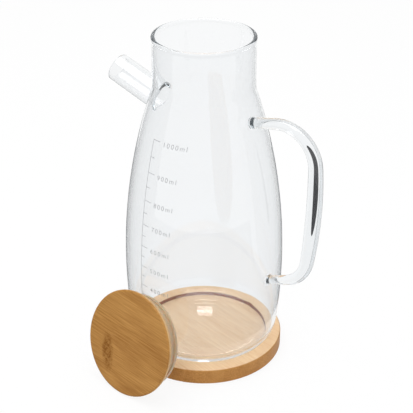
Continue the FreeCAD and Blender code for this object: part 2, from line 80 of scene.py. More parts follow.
# ------------------------------------------------------------------------------------------ shader nodes
class Number:
    """A number in a tree of shader nodes. Expressions on it add Math nodes."""

    def __init__(self, nodes, socket):
        self.nodes = nodes
        self.socket = socket

    def math(self, operation, *inputs, clamp=False):
        return self.nodes.node("ShaderNodeMath", {"operation": operation, "use_clamp": clamp},
                               dict(enumerate(inputs)))

    def __add__(self, other):
        return self.math("ADD", self, other)

    def __sub__(self, other):
        return self.math("SUBTRACT", self, other)

    def __rsub__(self, other):
        return self.math("SUBTRACT", other, self)

    def __mul__(self, other):
        return self.math("MULTIPLY", self, other)

    def __truediv__(self, other):
        return self.math("DIVIDE", self, other)

    __radd__ = __add__
    __rmul__ = __mul__

    def floor(self):
        return self.math("FLOOR", self)

    def clamped(self):
        return self.math("ADD", self, 0.0, clamp=True)

    def ramp(self, low, high):
        """0 below low, 1 above high and smooth between."""
        return self.nodes.node("ShaderNodeMapRange", {"interpolation_type": "SMOOTHSTEP"},
                               {"Value": self, "From Min": low, "From Max": high})


class Nodes:
    """The shader nodes of one material or world."""

    def __init__(self, tree):
        self.tree = tree

    def feed(self, target, value):
        if isinstance(value, Number):
            self.tree.links.new(value.socket, target)
        else:
            target.default_value = value

    def node(self, kind, settings=None, inputs=None, output=0):
        """Add a node: its settings first, then the values or links of its sockets."""
        made = self.tree.nodes.new(kind)
        for name, value in (settings or {}).items():
            setattr(made, name, value)
        for name, value in (inputs or {}).items():
            self.feed(made.inputs[name], value)
        return Number(self, made.outputs[output])

    def light_path(self, *rays):
        """1 for the named kinds of ray, 0 for the rest."""
        kinds = [self.node("ShaderNodeLightPath", output=f"Is {ray} Ray") for ray in rays]
        return sum(kinds[1:], kinds[0]).clamped()


class Finish(Nodes):
    """One material, built on a Principled BSDF."""

    def __init__(self, name, **constants):
        self.material = bpy.data.materials.new(name)
        self.material.use_nodes = True
        super().__init__(self.material.node_tree)
        self.shader = self.tree.nodes["Principled BSDF"]
        self.result = self.tree.nodes["Material Output"]
        for socket, value in constants.items():
            self.shader.inputs[socket.replace("_", " ")].default_value = value

    def set(self, socket, value):
        self.feed(self.shader.inputs[socket], value)

    def show(self, share, other):
        """Put another shader over the Principled one, by a share from 0 to 1."""
        own = Number(self, self.shader.outputs[0])
        mixed = self.node("ShaderNodeMixShader", inputs={0: share, 1: own, 2: other})
        self.feed(self.result.inputs["Surface"], mixed)

    def place(self):
        """Position on the piece, in metres in the shared frame."""
        return self.node("ShaderNodeTexCoord", output="Object")

    def vectors(self, operation, *inputs, output=0):
        return self.node("ShaderNodeVectorMath", {"operation": operation}, dict(enumerate(inputs)), output)

    def along(self, place, direction):
        """Distance of a place along a direction, in millimetres."""
        return self.vectors("DOT_PRODUCT", place, Vector(direction) / MM, output="Value")

    def vector(self, x, y, z):
        return self.node("ShaderNodeCombineXYZ", inputs={0: x, 1: y, 2: z})

    def mix(self, share, first, second):
        """A colour between two."""
        return self.node("ShaderNodeMix", {"data_type": "RGBA"},
                         {"Factor": share, 6: first, 7: second}, output=2)

    def noise(self, where, scale=1.0, detail=2.0, roughness=0.5):
        return self.node("ShaderNodeTexNoise", inputs={
            "Vector": where, "Scale": scale, "Detail": detail, "Roughness": roughness})

    def speckle(self, where):
        """A number of its own for each place."""
        return self.node("ShaderNodeTexWhiteNoise", {"noise_dimensions": "3D"}, {"Vector": where})

    def bump(self, height, strength, distance):
        return self.node("ShaderNodeBump", inputs={
            "Height": height, "Strength": strength, "Distance": distance})


def rgb(red, green, blue):
    """A colour given as it shows on a screen, 0 to 255, as a linear colour."""
    linear = [((c / 255 + 0.055) / 1.055) ** 2.4 if c > 10 else c / 3294 for c in (red, green, blue)]
    return (*linear, 1.0)


# ------------------------------------------------------------------------------------------ clear glass
GLASS_COLOUR = (0.968, 0.973, 0.978, 1.0)
GLASS_SHADOW = (0.93, 0.94, 0.95, 1.0)         # what a lamp's light keeps on its way through
GLASS_DEPTH = (0.80, 0.84, 0.86, 1.0)          # what light keeps in the depth of the glass
GLASS_DENSITY = 45.0                           # how fast it takes that colour, per metre
CAUGHT_AFTER = 4                               # reflections after which caught light is let out


def glass_finish():
    """Clear glass, faintly cool, greyer where it is thick, with the slight waviness of blown glass."""
    finish = Finish("clear_glass", Base_Color=GLASS_COLOUR, Roughness=0.0, IOR=1.47, Transmission_Weight=1.0)
    waves = finish.noise(finish.place(), scale=38.0, detail=1.0)
    finish.set("Normal", finish.bump(waves, strength=0.06, distance=0.0006))
    let_lamps_through(finish, GLASS_SHADOW)
    depth = finish.node("ShaderNodeVolumeAbsorption", inputs={"Color": GLASS_DEPTH, "Density": GLASS_DENSITY})
    finish.feed(finish.result.inputs["Volume"], depth)
    return finish.material


def let_lamps_through(finish, tint):
    """Lamps shine through, and light that is caught inside gets out again."""
    clear = finish.node("ShaderNodeBsdfTransparent", inputs={"Color": tint})
    turned = finish.node("ShaderNodeLightPath", output="Glossy Depth").ramp(CAUGHT_AFTER - 1, CAUGHT_AFTER)
    finish.show((finish.light_path("Shadow") + turned).clamped(), clear)


# ------------------------------------------------------------------------------------------------ bamboo
# Tones from light to dark, and the width of a strip in millimetres.
LID_FACE_TONES = (rgb(205, 153, 84), rgb(186, 132, 58), rgb(144, 90, 28))
LID_SIDE_TONES = (rgb(238, 204, 154), rgb(218, 178, 124), rgb(180, 134, 84))
SCAR_TONE = rgb(132, 78, 0)
LID_STRIP = 8.0
TRAY_TOP_TONES = (rgb(250, 220, 180), rgb(241, 203, 160), rgb(219, 170, 120))
TRAY_SIDE_TONES = (rgb(214, 160, 90), rgb(196, 136, 66), rgb(158, 98, 36))
# Painted shade: a dark brown laid on the wall of the tray's hollow, where the glass's heel shades it.
RECESS_SHADE_TONE = rgb(150, 76, 22)
TRAY_STRIP = 11.0

# How finely each pattern runs along the grain, and across it, per millimetre.
DRIFT_ALONG, DRIFT_ACROSS = 0.010, 0.05
FIBRE_ALONG, FIBRE_ACROSS = 0.045, 1.7
PORE_ALONG, PORE_ACROSS = 0.11, 3.4
CLOUD_ALONG, CLOUD_ACROSS = 0.03, 0.12
SCAR_ALONG, SCAR_ACROSS = 0.6, 0.5

BEND = 3.0                             # how far the grain wanders sideways
STRIP_SEED = (3.0, 7.0)                # picks the strips' own tones
PORE_SHIFT = 40.0                      # keeps the pores of neighbouring strips apart
TONE_SHARE = 0.35                      # how far each pattern pulls towards its tone

# Values of the noise between which each pattern comes in.
FIBRE_SPAN, PORE_SPAN, CLOUD_SPAN, STREAK_SPAN = (0.30, 0.70), (0.60, 0.72), (0.45, 0.75), (0.45, 0.60)
SATIN, PORE_ROUGH, FIBRE_ROUGH = 0.42, 0.2, 0.1
GRAIN_BUMP, GRAIN_DEPTH, PORE_SINK = 0.25, 0.0003, 0.5

LID_AZIMUTH = math.radians(-94.5)      # direction in which the lid's face looks
LID_LEAN = math.radians(16.4)          # lid's lean away from upright
LID_GRAIN = math.radians(-5.6)         # slope of the grain on the lid's face
LID_SIDE = (1.4, 0.5)                  # depths behind its face where the brown ends, and begins to fade
SCAR_PLACE = (-9.4, -14.4)             # a growth ring's scar, along and across the grain from the middle
SCAR_LENGTH, SCAR_WIDTH = 6.0, 14.5    # half its size along and across the grain
SCAR_SLANT, SCAR_WANDER = 0.75, 1.5
SCAR_FADE = (0.1, 1.0)                 # squared distance, as a share of its size, where it fades
STREAK_SHARE = 0.65                    # part of the scar that is streaked

TRAY_GRAIN, TRAY_ACROSS = (1, -0.2, 0), (0.2, 1, 0)
TRAY_RADIUS, RECESS_RADIUS = 52.13, 43.13
TRAY_EDGE = (-0.6, -0.2)               # millimetres past the radius where a tone starts and is whole
# Millimetres past the hollow's radius over which the painted shade on its wall comes in, and over which it
# goes again.
RECESS_SHADE_START, RECESS_SHADE_END = (-0.15, 0.0), (0.1, 0.3)


class Bamboo(Finish):
    """Pressed bamboo: strips glued side by side, each with its own tone, fibres and dark pores."""

    def __init__(self, name, grain, across, strip):
        super().__init__(name, IOR=1.45, Specular_IOR_Level=0.35)
        grain = Vector(grain).normalized()
        across = Vector(across).normalized()
        self.where = self.place()
        self.length = self.along(self.where, grain)
        self.width = self.along(self.where, across)
        self.height = self.along(self.where, grain.cross(across))
        self.drift = self.noise(self.vector(
            self.length * DRIFT_ALONG, self.width * DRIFT_ACROSS, self.height * DRIFT_ACROSS), detail=1.0)
        self.bent = self.width + self.drift * BEND
        self.own = self.speckle(self.vector((self.bent / strip).floor(), *STRIP_SEED))
        self.fibres = self.grained(self.length * FIBRE_ALONG, FIBRE_ACROSS, detail=3.0, roughness=0.65)
        pores = self.grained(self.length * PORE_ALONG + self.own * PORE_SHIFT, PORE_ACROSS)
        self.pore = pores.ramp(*PORE_SPAN)
        self.patch = self.grained(self.length * CLOUD_ALONG, CLOUD_ACROSS).ramp(*CLOUD_SPAN)

    def grained(self, along, fineness, **kind):
        """Noise that is drawn out along the grain."""
        return self.noise(self.vector(along, self.bent * fineness, self.height * fineness), **kind)

    def toned(self, light, middle, dark):
        """Colour of the wood from its three tones."""
        colour = self.mix(self.fibres.ramp(*FIBRE_SPAN), dark, light)
        colour = self.mix(TONE_SHARE, colour, middle)
        colour = self.mix(self.own * TONE_SHARE, colour, light)
        colour = self.mix(self.patch * TONE_SHARE, colour, dark)
        return self.mix(self.pore * TONE_SHARE, colour, dark)

    def scarred(self, colour, along, across):
        """The colour with the scar of a growth ring, slanted across the grain."""
        off_across = (self.width - across) / SCAR_WIDTH
        off_along = (self.length - along) / SCAR_LENGTH + off_across * SCAR_SLANT + self.drift * SCAR_WANDER
        near = 1 - (off_along * off_along + off_across * off_across).ramp(*SCAR_FADE)
        streaks = self.noise(self.vector(self.length * SCAR_ALONG, self.bent * SCAR_ACROSS, self.height),
                             detail=4.0, roughness=0.75).ramp(*STREAK_SPAN)
        return self.mix(near * (streaks * STREAK_SHARE + (1 - STREAK_SHARE)), colour, SCAR_TONE)

    def finished(self, colour):
        """The material, with a satin face that is rougher in its pores."""
        self.set("Base Color", colour)
        self.set("Roughness", SATIN + self.pore * PORE_ROUGH + self.fibres * FIBRE_ROUGH)
        self.set("Normal", self.bump(self.fibres - self.pore * PORE_SINK, GRAIN_BUMP, GRAIN_DEPTH))
        return self.material


def lid_bamboo():
    """Brown on the lid's face, with a scar, and cream on its turned side and behind."""
    face = unit(LID_AZIMUTH, LID_LEAN)
    level = Vector((0, 0, 1)).cross(face).normalized()
    up = face.cross(level)
    grain = level * math.cos(LID_GRAIN) + up * math.sin(LID_GRAIN)
    across = face.cross(grain)
    low, high = (Vector(corner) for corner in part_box("bamboo_lid"))
    middle = (low + high) / 2 / MM
    front = max(corner.co.dot(face) for corner in frame["nodes"]["bamboo_lid"].data.vertices) / MM
    bamboo = Bamboo("lid_bamboo", grain, across, LID_STRIP)
    side = 1 - bamboo.along(bamboo.where, face).ramp(*(front - depth for depth in LID_SIDE))
    colour = bamboo.mix(side, bamboo.toned(*LID_FACE_TONES), bamboo.toned(*LID_SIDE_TONES))
    colour = bamboo.scarred(colour, middle.dot(grain) + SCAR_PLACE[0], middle.dot(across) + SCAR_PLACE[1])
    return bamboo.finished(colour)


def tray_bamboo():
    """Cream on the tray's top, brown on its outer edge, and painted shade on the wall of the hollow that the
    glass stands in, where the glass's heel shades it.
    """
    bamboo = Bamboo("tray_bamboo", TRAY_GRAIN, TRAY_ACROSS, TRAY_STRIP)
    level = bamboo.vectors("MULTIPLY", bamboo.where, (1 / MM, 1 / MM, 0.0))
    out = bamboo.vectors("LENGTH", level, output="Value")

    def past(radius, ends):
        """0 inside a radius and 1 outside it, with a soft step between the two ends."""
        return out.ramp(radius + ends[0], radius + ends[1])

    # A thin ring of painted shade where the hollow's wall stands.
    recess_shade = past(RECESS_RADIUS, RECESS_SHADE_START) * (1 - past(RECESS_RADIUS, RECESS_SHADE_END))
    colour = bamboo.mix(past(TRAY_RADIUS, TRAY_EDGE),
                        bamboo.toned(*TRAY_TOP_TONES), bamboo.toned(*TRAY_SIDE_TONES))
    # The painted shade is laid over the wood's own colour.
    return bamboo.finished(bamboo.mix(recess_shade, colour, RECESS_SHADE_TONE))


# ----------------------------------------------------------------------------------------------- silicone
SILICONE_TONES = (rgb(232, 206, 172), rgb(244, 222, 192))


def silicone_finish():
    """Soft clear silicone, milky where it is thick, warm from the bamboo behind it."""
    finish = Finish("milky_silicone", Roughness=0.35, IOR=1.41, Transmission_Weight=0.5,
                    Subsurface_Weight=0.2, Subsurface_Scale=0.003)
    cloud = finish.noise(finish.place(), scale=120.0)
    finish.set("Base Color", finish.mix(cloud, *SILICONE_TONES))
    return finish.material


def dress_cad_nodes():
    nodes = frame["nodes"]
    give(nodes["bamboo_lid"], lid_bamboo())
    give(nodes["bamboo_tray"], tray_bamboo())
    give(nodes["lid_seal"], silicone_finish())


# ------------------------------------------------------------------------------------------ glass shape
# The bottle's side, in millimetres: two long arcs that meet at the belly, a hollow bend up to the straight
# neck and a round heel down to the foot. The inside is the same, set in by the wall.
BELLY_RADIUS, BELLY_HEIGHT = 51.5, 67.6
LOWER_ARC, SHOULDER_ARC = 436.0, 372.0
NECK_RADIUS, NECK_BEND = 32.0, 12.0
WALL, FLOOR_GLASS = 2.0, 3.2
HEEL_RADIUS, INNER_HEEL_RADIUS = 16.0, 12.5
FOOT_HEIGHT, FOOT_RING, PUSH_UP = 7.4, 3.0, 0.8
GLASS_TOP, RIM_RADIUS = 220.0, 1.4

SPOUT_HEIGHT, SPOUT_RISE = 171.6, math.radians(19.4)
SPOUT_RADIUS, SPOUT_WALL, SPOUT_LENGTH = 9.3, 1.7, 35.0
SPOUT_WELD, SPOUT_INNER_EDGE, MOUTH_ROUND = 1.8, 0.8, 0.7

TOP_JOINT, TOP_SLOPE, TOP_BEND = 171.9, math.radians(13.0), 23.8
LOW_JOINT, LOW_SLOPE, LOW_BEND = 66.6, math.radians(19.0), 21.8
GRIP_ARC, GRIP_HEIGHT, GRIP_REACH = 340.0, 138.0, 31.5
ROD_TOP, ROD_LOW = 3.45, 2.95          # rod's radius at its two joints
ROD_RADII = (                          # and at the start, middle and end of each piece of its line
    (ROD_TOP, 3.5, 3.6), (3.6, 3.95, 4.4), (4.4, 4.88, 4.25), (4.25, 3.8, 3.2), (3.2, 3.0, ROD_LOW),
)
HANDLE_WELD = 1.2

# Rows and columns of the mesh. Heights and lengths of rows are in millimetres.
ROUND = 96                             # columns round the bottle
ROW = 3.0                              # usual height of a row
JOINT_ROW = 2.4                        # height of a row near a joint
NEAR_TOP, NEAR_LOW = 9, 6              # such rows above and below the upper joints and the lower one
JOINT_REACH = 8                        # rows above and below a joint that it may move
HEEL_ROWS, INNER_HEEL_ROWS = 9, 8
FLOOR_RADII = [27.0 - 3.0 * step for step in range(9)]
RIM_ROWS = 11
UPPER_ROW = (TOP_JOINT + SPOUT_HEIGHT) / 2     # middle row of both upper joints
ROD_STEP, ROD_CLEAR = 2.6, 0.8         # length of a row along the rod, and the gap left to the weld
ROD_LEAST = 3                          # fewest rows on one piece of the rod
WELD_SHARES = (0.25, 0.5, 0.75, 1.0)   # where the rings of a weld lie, from the side to the rod or tube
TUBE_WELD_SHARES = (0.2, 0.4, 0.6, 0.8, 1.0)
BORE_EDGE_SHARES = (1.0, 0.6, 0.3)
TUBE_ROWS, BORE_ROWS, MOUTH_ROWS = 8, 12, 4
HANDLE_CELLS, HANDLE_SPREAD = 4, 2.6   # cells across a hole, and how far out its round edge fades
SPOUT_CELLS, SPOUT_SPREAD = 8, 2.0
EDGE_SLACK = 0.001                     # a point this near a hole's edge is on it
PIERCE_REACH, PIERCE_HALVINGS = 30.0, 40       # how far along a line the side is looked for, and how finely


def steps_round(count):
    """Angles of a full turn in even steps."""
    return [2 * math.pi * step / count for step in range(count)]


class Side:
    """Outline of the outside of the bottle, or of its inside when set in by the wall."""

    def __init__(self, inset, bottom, heel):
        self.belly = BELLY_RADIUS - inset
        self.lower, self.upper = LOWER_ARC - inset, SHOULDER_ARC - inset
        self.neck, self.bend = NECK_RADIUS - inset, NECK_BEND + inset
        self.bottom, self.heel = bottom, heel
        reach = self.neck + self.bend - self.belly + self.upper
        rise = math.sqrt((self.upper + self.bend) ** 2 - reach ** 2)
        self.bend_top = BELLY_HEIGHT + rise
        self.bend_low = self.bend_top - self.bend * rise / (self.upper + self.bend)
        drop = BELLY_HEIGHT - bottom - heel
        across = math.sqrt((self.lower - heel) ** 2 - drop ** 2)
        self.heel_x = self.belly - self.lower + across
        self.heel_angle = math.atan2(drop, across)
        self.heel_top = bottom + heel - heel * math.sin(self.heel_angle)

    def radius(self, height):
        if height >= self.bend_top:
            return self.neck
        if height >= self.bend_low:
            return self.neck + self.bend - math.sqrt(self.bend ** 2 - (self.bend_top - height) ** 2)
        arc = self.upper if height >= BELLY_HEIGHT else self.lower
        return self.belly - arc + math.sqrt(arc ** 2 - (height - BELLY_HEIGHT) ** 2)

    def wall_points(self, top, fixed):
        """The wall from the top down to the heel, with rows of even height between the fixed ones."""
        stops = sorted({top, self.heel_top, *fixed}, reverse=True)
        yield (self.radius(top), top)
        for high, low in zip(stops, stops[1:]):
            count = max(1, round((high - low) / ROW))
            for step in range(1, count + 1):
                height = high + (low - high) * step / count
                yield (self.radius(height), height)

    def heel_points(self, count):
        """Round heel, from below its top down to the foot's ring."""
        for step in range(1, count + 1):
            angle = self.heel_angle + (math.pi / 2 - self.heel_angle) * step / count
            yield (self.heel_x + self.heel * math.cos(angle),
                   self.bottom + self.heel - self.heel * math.sin(angle))

    def floor_points(self):
        """Foot's flat ring, then the underside that rises towards the middle."""
        ring = self.heel_x - FOOT_RING
        yield (ring, self.bottom)
        dome = (ring ** 2 + PUSH_UP ** 2) / (2 * PUSH_UP)
        for radius in FLOOR_RADII:
            if radius < ring:
                yield (radius, self.bottom + PUSH_UP - dome + math.sqrt(dome ** 2 - radius ** 2))


OUTSIDE = Side(0.0, FOOT_HEIGHT, HEEL_RADIUS)
INSIDE = Side(WALL, FOOT_HEIGHT + FLOOR_GLASS, INNER_HEEL_RADIUS)


def rim_points():
    """Rounded rim, from the top of the inner wall over to the top of the outer wall."""
    start = math.acos(WALL / 2 / RIM_RADIUS)
    for step in range(RIM_ROWS + 1):
        angle = math.pi + start - (math.pi + 2 * start) * step / RIM_ROWS
        yield (NECK_RADIUS - WALL / 2 + RIM_RADIUS * math.cos(angle),
               GLASS_TOP - RIM_RADIUS + RIM_RADIUS * math.sin(angle))


def bend_centre(foot, slope, side, bend, grip):
    """Centre of the bend that leads from a straight arm into the grip's arc."""
    along = Vector((math.cos(slope), math.sin(slope)))
    base = foot + Vector((-along.y, along.x)) * side * bend - grip
    half = base.dot(along)
    rest = base.length_squared - (GRIP_ARC - bend) ** 2
    return grip + base + along * (math.sqrt(half ** 2 - rest) - half)


def handle_line():
    """The handle's centre line as pieces: a function of its share from 0 to 1, and its length."""
    top = Vector((OUTSIDE.radius(TOP_JOINT), TOP_JOINT))
    low = Vector((OUTSIDE.radius(LOW_JOINT), LOW_JOINT))
    grip = Vector((BELLY_RADIUS + GRIP_REACH - GRIP_ARC, GRIP_HEIGHT))
    top_centre = bend_centre(top, TOP_SLOPE, -1, TOP_BEND, grip)
    low_centre = bend_centre(low, LOW_SLOPE, 1, LOW_BEND, grip)
    top_angle = math.atan2(*(top_centre - grip).yx)
    low_angle = math.atan2(*(low_centre - grip).yx)

    def straight(start, end):
        return (lambda share: start.lerp(end, share)), (end - start).length

    def turn(centre, radius, first, last):
        def at(share):
            angle = first + (last - first) * share
            return centre + Vector((math.cos(angle), math.sin(angle))) * radius
        return at, abs(last - first) * radius

    quarter = math.pi / 2
    bend_top = turn(top_centre, TOP_BEND, quarter + TOP_SLOPE, top_angle)
    bend_low = turn(low_centre, LOW_BEND, low_angle, LOW_SLOPE - quarter)
    return [straight(top, bend_top[0](0)), bend_top, turn(grip, GRIP_ARC, top_angle, low_angle),
            bend_low, straight(bend_low[0](1), low)]


def handle_stations():
    """Points of the handle's centre line, and the rod's radius at each."""
    stations = []
    for (at, length), (first, middle, last) in zip(handle_line(), ROD_RADII):
        steps = max(ROD_LEAST, round(length / ROD_STEP))
        for step in range(steps):
            share = step / steps
            bulge = 4 * (middle - (first + last) / 2) * share * (1 - share)
            stations.append((at(share), first + (last - first) * share + bulge))
    return stations + [(at(1), last)]


class Joint:
    """A round hole in the side where a rod or tube joins it, and the smooth mesh round the hole."""

    def __init__(self, side, height, row_height, azimuth, slope, cells, hole, spread):
        self.side, self.row_height, self.azimuth = side, row_height, azimuth
        self.cells, self.hole, self.spread = cells, hole, spread
        out = Vector((math.cos(azimuth), math.sin(azimuth), 0))
        self.axis = out * math.cos(slope) + Vector((0, 0, math.sin(slope)))
        self.root = out * OUTSIDE.radius(height) + Vector((0, 0, height))
        self.across = Vector((0, 0, 1)).cross(out)
        self.up = self.axis.cross(self.across)
        self.loop = {}

    def count(self):
        """Points on the hole's edge."""
        return 4 * self.cells

    def reach(self, point):
        """How far out a point lies along the joint's axis."""
        return (point - self.root).dot(self.axis)

    def circle(self, radius, along):
        """A ring of points square to the joint's axis."""
        centre = self.root + self.axis * along
        return [centre + (self.across * math.cos(turn) + self.up * math.sin(turn)) * radius
                for turn in steps_round(self.count())]

    def pierce(self, angle, radius):
        """Where a line along the joint's axis, set off to one side, meets the side of the bottle."""
        start = self.root + (self.across * math.cos(angle) + self.up * math.sin(angle)) * radius
        low, high = -PIERCE_REACH, PIERCE_REACH
        for _ in range(PIERCE_HALVINGS):
            middle = (low + high) / 2
            point = start + self.axis * middle
            inside = math.hypot(point.x, point.y) < self.side.radius(point.z)
            low, high = (middle, high) if inside else (low, middle)
        return start + self.axis * low

    def off(self, column, row_height):
        """Distance of a grid point right of the hole's middle and above it, where 1 is its edge."""
        half = self.cells / 2
        x = (column - self.azimuth / (2 * math.pi) * ROUND) / half
        x -= round(x * half / ROUND) * ROUND / half
        return x, (row_height - self.row_height) / (half * JOINT_ROW)

    def place(self, column, row_height, point):
        """Moved place of a grid point near the hole, or None for one that lies inside it."""
        x, y = self.off(column, row_height)
        share = max(abs(x), abs(y))
        if share < 1 - EDGE_SLACK:
            return None
        if share >= self.spread:
            return point
        keep = (share - 1) / (self.spread - 1)
        keep = keep * keep * (3 - 2 * keep)
        moved = self.pierce(square_angle(x, y), self.hole * share).lerp(point, keep)
        level = math.hypot(moved.x, moved.y)
        radius = self.side.radius(moved.z)
        return Vector((moved.x * radius / level, moved.y * radius / level, moved.z))

    def step_of(self, column, row_height):
        """Number of a grid point on the hole's edge, counted round from the joint's own right."""
        x, y = self.off(column, row_height)
        if abs(max(abs(x), abs(y)) - 1) > EDGE_SLACK:
            return None
        return round(square_angle(x, y) / (2 * math.pi) * self.count()) % self.count()

    def ring(self, radius, weld, share):
        """A ring of points on the weld between the side (share 0) and the rod or tube (share 1)."""
        points = []
        for angle in steps_round(self.count()):
            foot = self.pierce(angle, radius + weld)
            corner = self.pierce(angle, radius)
            end = corner + self.axis * weld
            points.append(foot.lerp(corner, share).lerp(corner.lerp(end, share), share))
        return points

    def edge(self):
        """Vertices of the hole's edge, in order."""
        return [self.loop[step] for step in range(self.count())]


def square_angle(x, y):
    """Direction round a square, with equal steps along its sides."""
    eighth = math.pi / 4
    if abs(x) >= abs(y):
        return (eighth * y / x if x > 0 else math.pi + eighth * y / x) % (2 * math.pi)
    return 2 * eighth - eighth * x / y if y > 0 else 6 * eighth - eighth * x / y


def fuller(count):
    """How much wider a coarse ring is made, so that one subdivision brings it to its true size."""
    return 4 / (3 + math.cos(2 * math.pi / count))


def glass_joints():
    """The handle's upper and lower joint, the spout's tube and its bore."""
    full = fuller(4 * HANDLE_CELLS)
    top = Joint(OUTSIDE, TOP_JOINT, UPPER_ROW, 0.0, TOP_SLOPE,
                HANDLE_CELLS, (ROD_TOP + HANDLE_WELD) * full, HANDLE_SPREAD)
    low = Joint(OUTSIDE, LOW_JOINT, LOW_JOINT, 0.0, LOW_SLOPE,
                HANDLE_CELLS, (ROD_LOW + HANDLE_WELD) * full, HANDLE_SPREAD)
    tube = Joint(OUTSIDE, SPOUT_HEIGHT, UPPER_ROW, math.pi, SPOUT_RISE,
                 SPOUT_CELLS, SPOUT_RADIUS + SPOUT_WELD, SPOUT_SPREAD)
    bore = Joint(INSIDE, SPOUT_HEIGHT, UPPER_ROW, math.pi, SPOUT_RISE,
                 SPOUT_CELLS, SPOUT_RADIUS - SPOUT_WALL + SPOUT_INNER_EDGE, SPOUT_SPREAD)
    return top, low, tube, bore


def glass_rows(top, low, tube, bore):
    """Rows from the inner floor up the inside, over the rim and down outside, each with its joints."""
    near_top = [UPPER_ROW + JOINT_ROW * step for step in range(-NEAR_TOP, NEAR_TOP + 1)]
    near_low = [LOW_JOINT + JOINT_ROW * step for step in range(-NEAR_LOW, NEAR_LOW + 1)]
    rim = list(rim_points())
    wall_top = rim[0][1]
    inner = [*INSIDE.wall_points(wall_top, near_top), *INSIDE.heel_points(INNER_HEEL_ROWS),
             *INSIDE.floor_points()]
    outer = [*OUTSIDE.wall_points(wall_top, near_top + near_low), *OUTSIDE.heel_points(HEEL_ROWS),
             *OUTSIDE.floor_points()]
    rows = [(point, (bore,)) for point in reversed(inner)]
    rows += [(point, ()) for point in rim[1:-1]]
    return rows + [(point, (top, low, tube)) for point in outer]


def add_row(mesh, radius, height, joints):
    """One row of vertices round the bottle, moved where a joint is near and None inside its hole."""
    row = []
    for column, angle in enumerate(steps_round(ROUND)):
        point = Vector((radius * math.cos(angle), radius * math.sin(angle), height))
        for joint in joints:
            if point is not None and abs(height - joint.row_height) < JOINT_REACH * JOINT_ROW:
                point = joint.place(column, height, point)
        vertex = None if point is None else mesh.verts.new(point * MM)
        for joint in joints:
            step = joint.step_of(column, height)
            if vertex and step is not None:
                joint.loop[step] = vertex
        row.append(vertex)
    return row


def bridge(mesh, first, second):
    """Faces between two rings of vertices, left out where a corner is missing."""
    count = len(first)
    for step in range(count):
        after = (step + 1) % count
        corners = (first[step], first[after], second[after], second[step])
        if all(corners):
            mesh.faces.new(corners)


def cap(mesh, row, side):
    """Close a floor with faces that meet in its middle."""
    middle = mesh.verts.new(Vector((0, 0, side.bottom + PUSH_UP)) * MM)
    for column in range(ROUND):
        mesh.faces.new((row[column], row[(column + 1) % ROUND], middle))


def add_rings(mesh, start, rings, end):
    """Faces from one ring of vertices over rings of points to another ring of vertices."""
    for points in rings:
        ring = [mesh.verts.new(point * MM) for point in points]
        bridge(mesh, start, ring)
        start = ring
    bridge(mesh, start, end)


def backwards(ring):
    """The same ring counted the other way round, from the same first place."""
    return [ring[-step % len(ring)] for step in range(len(ring))]


def add_rod(mesh, top, low):
    """The handle's rod, from weld to weld."""
    full = fuller(top.count())
    top_rings = [top.ring(ROD_TOP * full, HANDLE_WELD, share) for share in WELD_SHARES]
    low_rings = [low.ring(ROD_LOW * full, HANDLE_WELD, share) for share in WELD_SHARES]

    top_clear = max(map(top.reach, top_rings[-1])) + ROD_CLEAR
    low_clear = max(map(low.reach, low_rings[-1])) + ROD_CLEAR
    rod = []
    stations = handle_stations()
    across = Vector((0, 1, 0))
    for (before, _), (point, radius), (after, _) in zip(stations, stations[1:], stations[2:]):
        middle = Vector((point.x, 0, point.y))
        near, clear = (top, top_clear) if point.y > GRIP_HEIGHT else (low, low_clear)
        if near.reach(middle) >= clear:
            forward = (after - before).normalized()
            up = Vector((forward.x, 0, forward.y)).cross(across)
            rod.append([middle + (across * math.cos(turn) + up * math.sin(turn)) * radius * full
                        for turn in steps_round(top.count())])
    rings = top_rings + rod + [backwards(ring) for ring in reversed(low_rings)]
    add_rings(mesh, top.edge(), rings, backwards(low.edge()))


def add_spout(mesh, tube, bore):
    """Straight tube from the outside of the side to its rounded mouth, and back inside."""
    outer, inner = SPOUT_RADIUS, SPOUT_RADIUS - SPOUT_WALL

    def between(first, last, shares):
        return [[a.lerp(b, share) for a, b in zip(first, last)] for share in shares]

    def mouth(edge, inward, bend):
        """A ring on the mouth's rounding: edge and inward say which way it turns."""
        return tube.circle(edge + inward * MOUTH_ROUND * (1 - math.cos(bend)),
                           SPOUT_LENGTH - MOUTH_ROUND * (1 - math.sin(bend)))

    rings = [tube.ring(outer, SPOUT_WELD, share) for share in TUBE_WELD_SHARES]
    straight = tube.circle(outer, SPOUT_LENGTH - MOUTH_ROUND)
    rings += between(rings[-1], straight, [step / TUBE_ROWS for step in range(1, TUBE_ROWS + 1)])
    bends = [math.pi / 2 * step / MOUTH_ROWS for step in range(MOUTH_ROWS + 1)]
    rings += [mouth(outer, -1, bend) for bend in bends[1:]]
    rings += [mouth(inner, 1, bend) for bend in reversed(bends)]
    back = [bore.ring(inner, SPOUT_INNER_EDGE, share) for share in BORE_EDGE_SHARES]
    rings += between(rings[-1], back[0], [step / BORE_ROWS for step in range(1, BORE_ROWS)])
    add_rings(mesh, tube.edge(), rings + back, bore.edge())


def make_glass():
    """The whole glass as one closed mesh of four-sided faces, smoothed by one subdivision."""
    mesh = bmesh.new()
    joints = glass_joints()
    grid = [add_row(mesh, radius, height, near) for (radius, height), near in glass_rows(*joints)]
    for first, second in zip(grid, grid[1:]):
        bridge(mesh, first, second)
    cap(mesh, grid[0], INSIDE)
    cap(mesh, grid[-1], OUTSIDE)
    top, low, tube, bore = joints
    add_rod(mesh, top, low)
    add_spout(mesh, tube, bore)
    for face in mesh.faces:
        face.smooth = True

    piece = link_mesh("clear_glass_pitcher", mesh)
    smoother = piece.modifiers.new("smoother", "SUBSURF")
    smoother.levels = smoother.render_levels = 1
    smoothed = piece.evaluated_get(bpy.context.evaluated_depsgraph_get())
    # The smoothed mesh becomes the piece's own, so that the piece keeps its true size.
    piece.data = bpy.data.meshes.new_from_object(smoothed)
    piece.modifiers.clear()
    give(piece, glass_finish())
    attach(piece, "root")
    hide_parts("glass_pitcher")


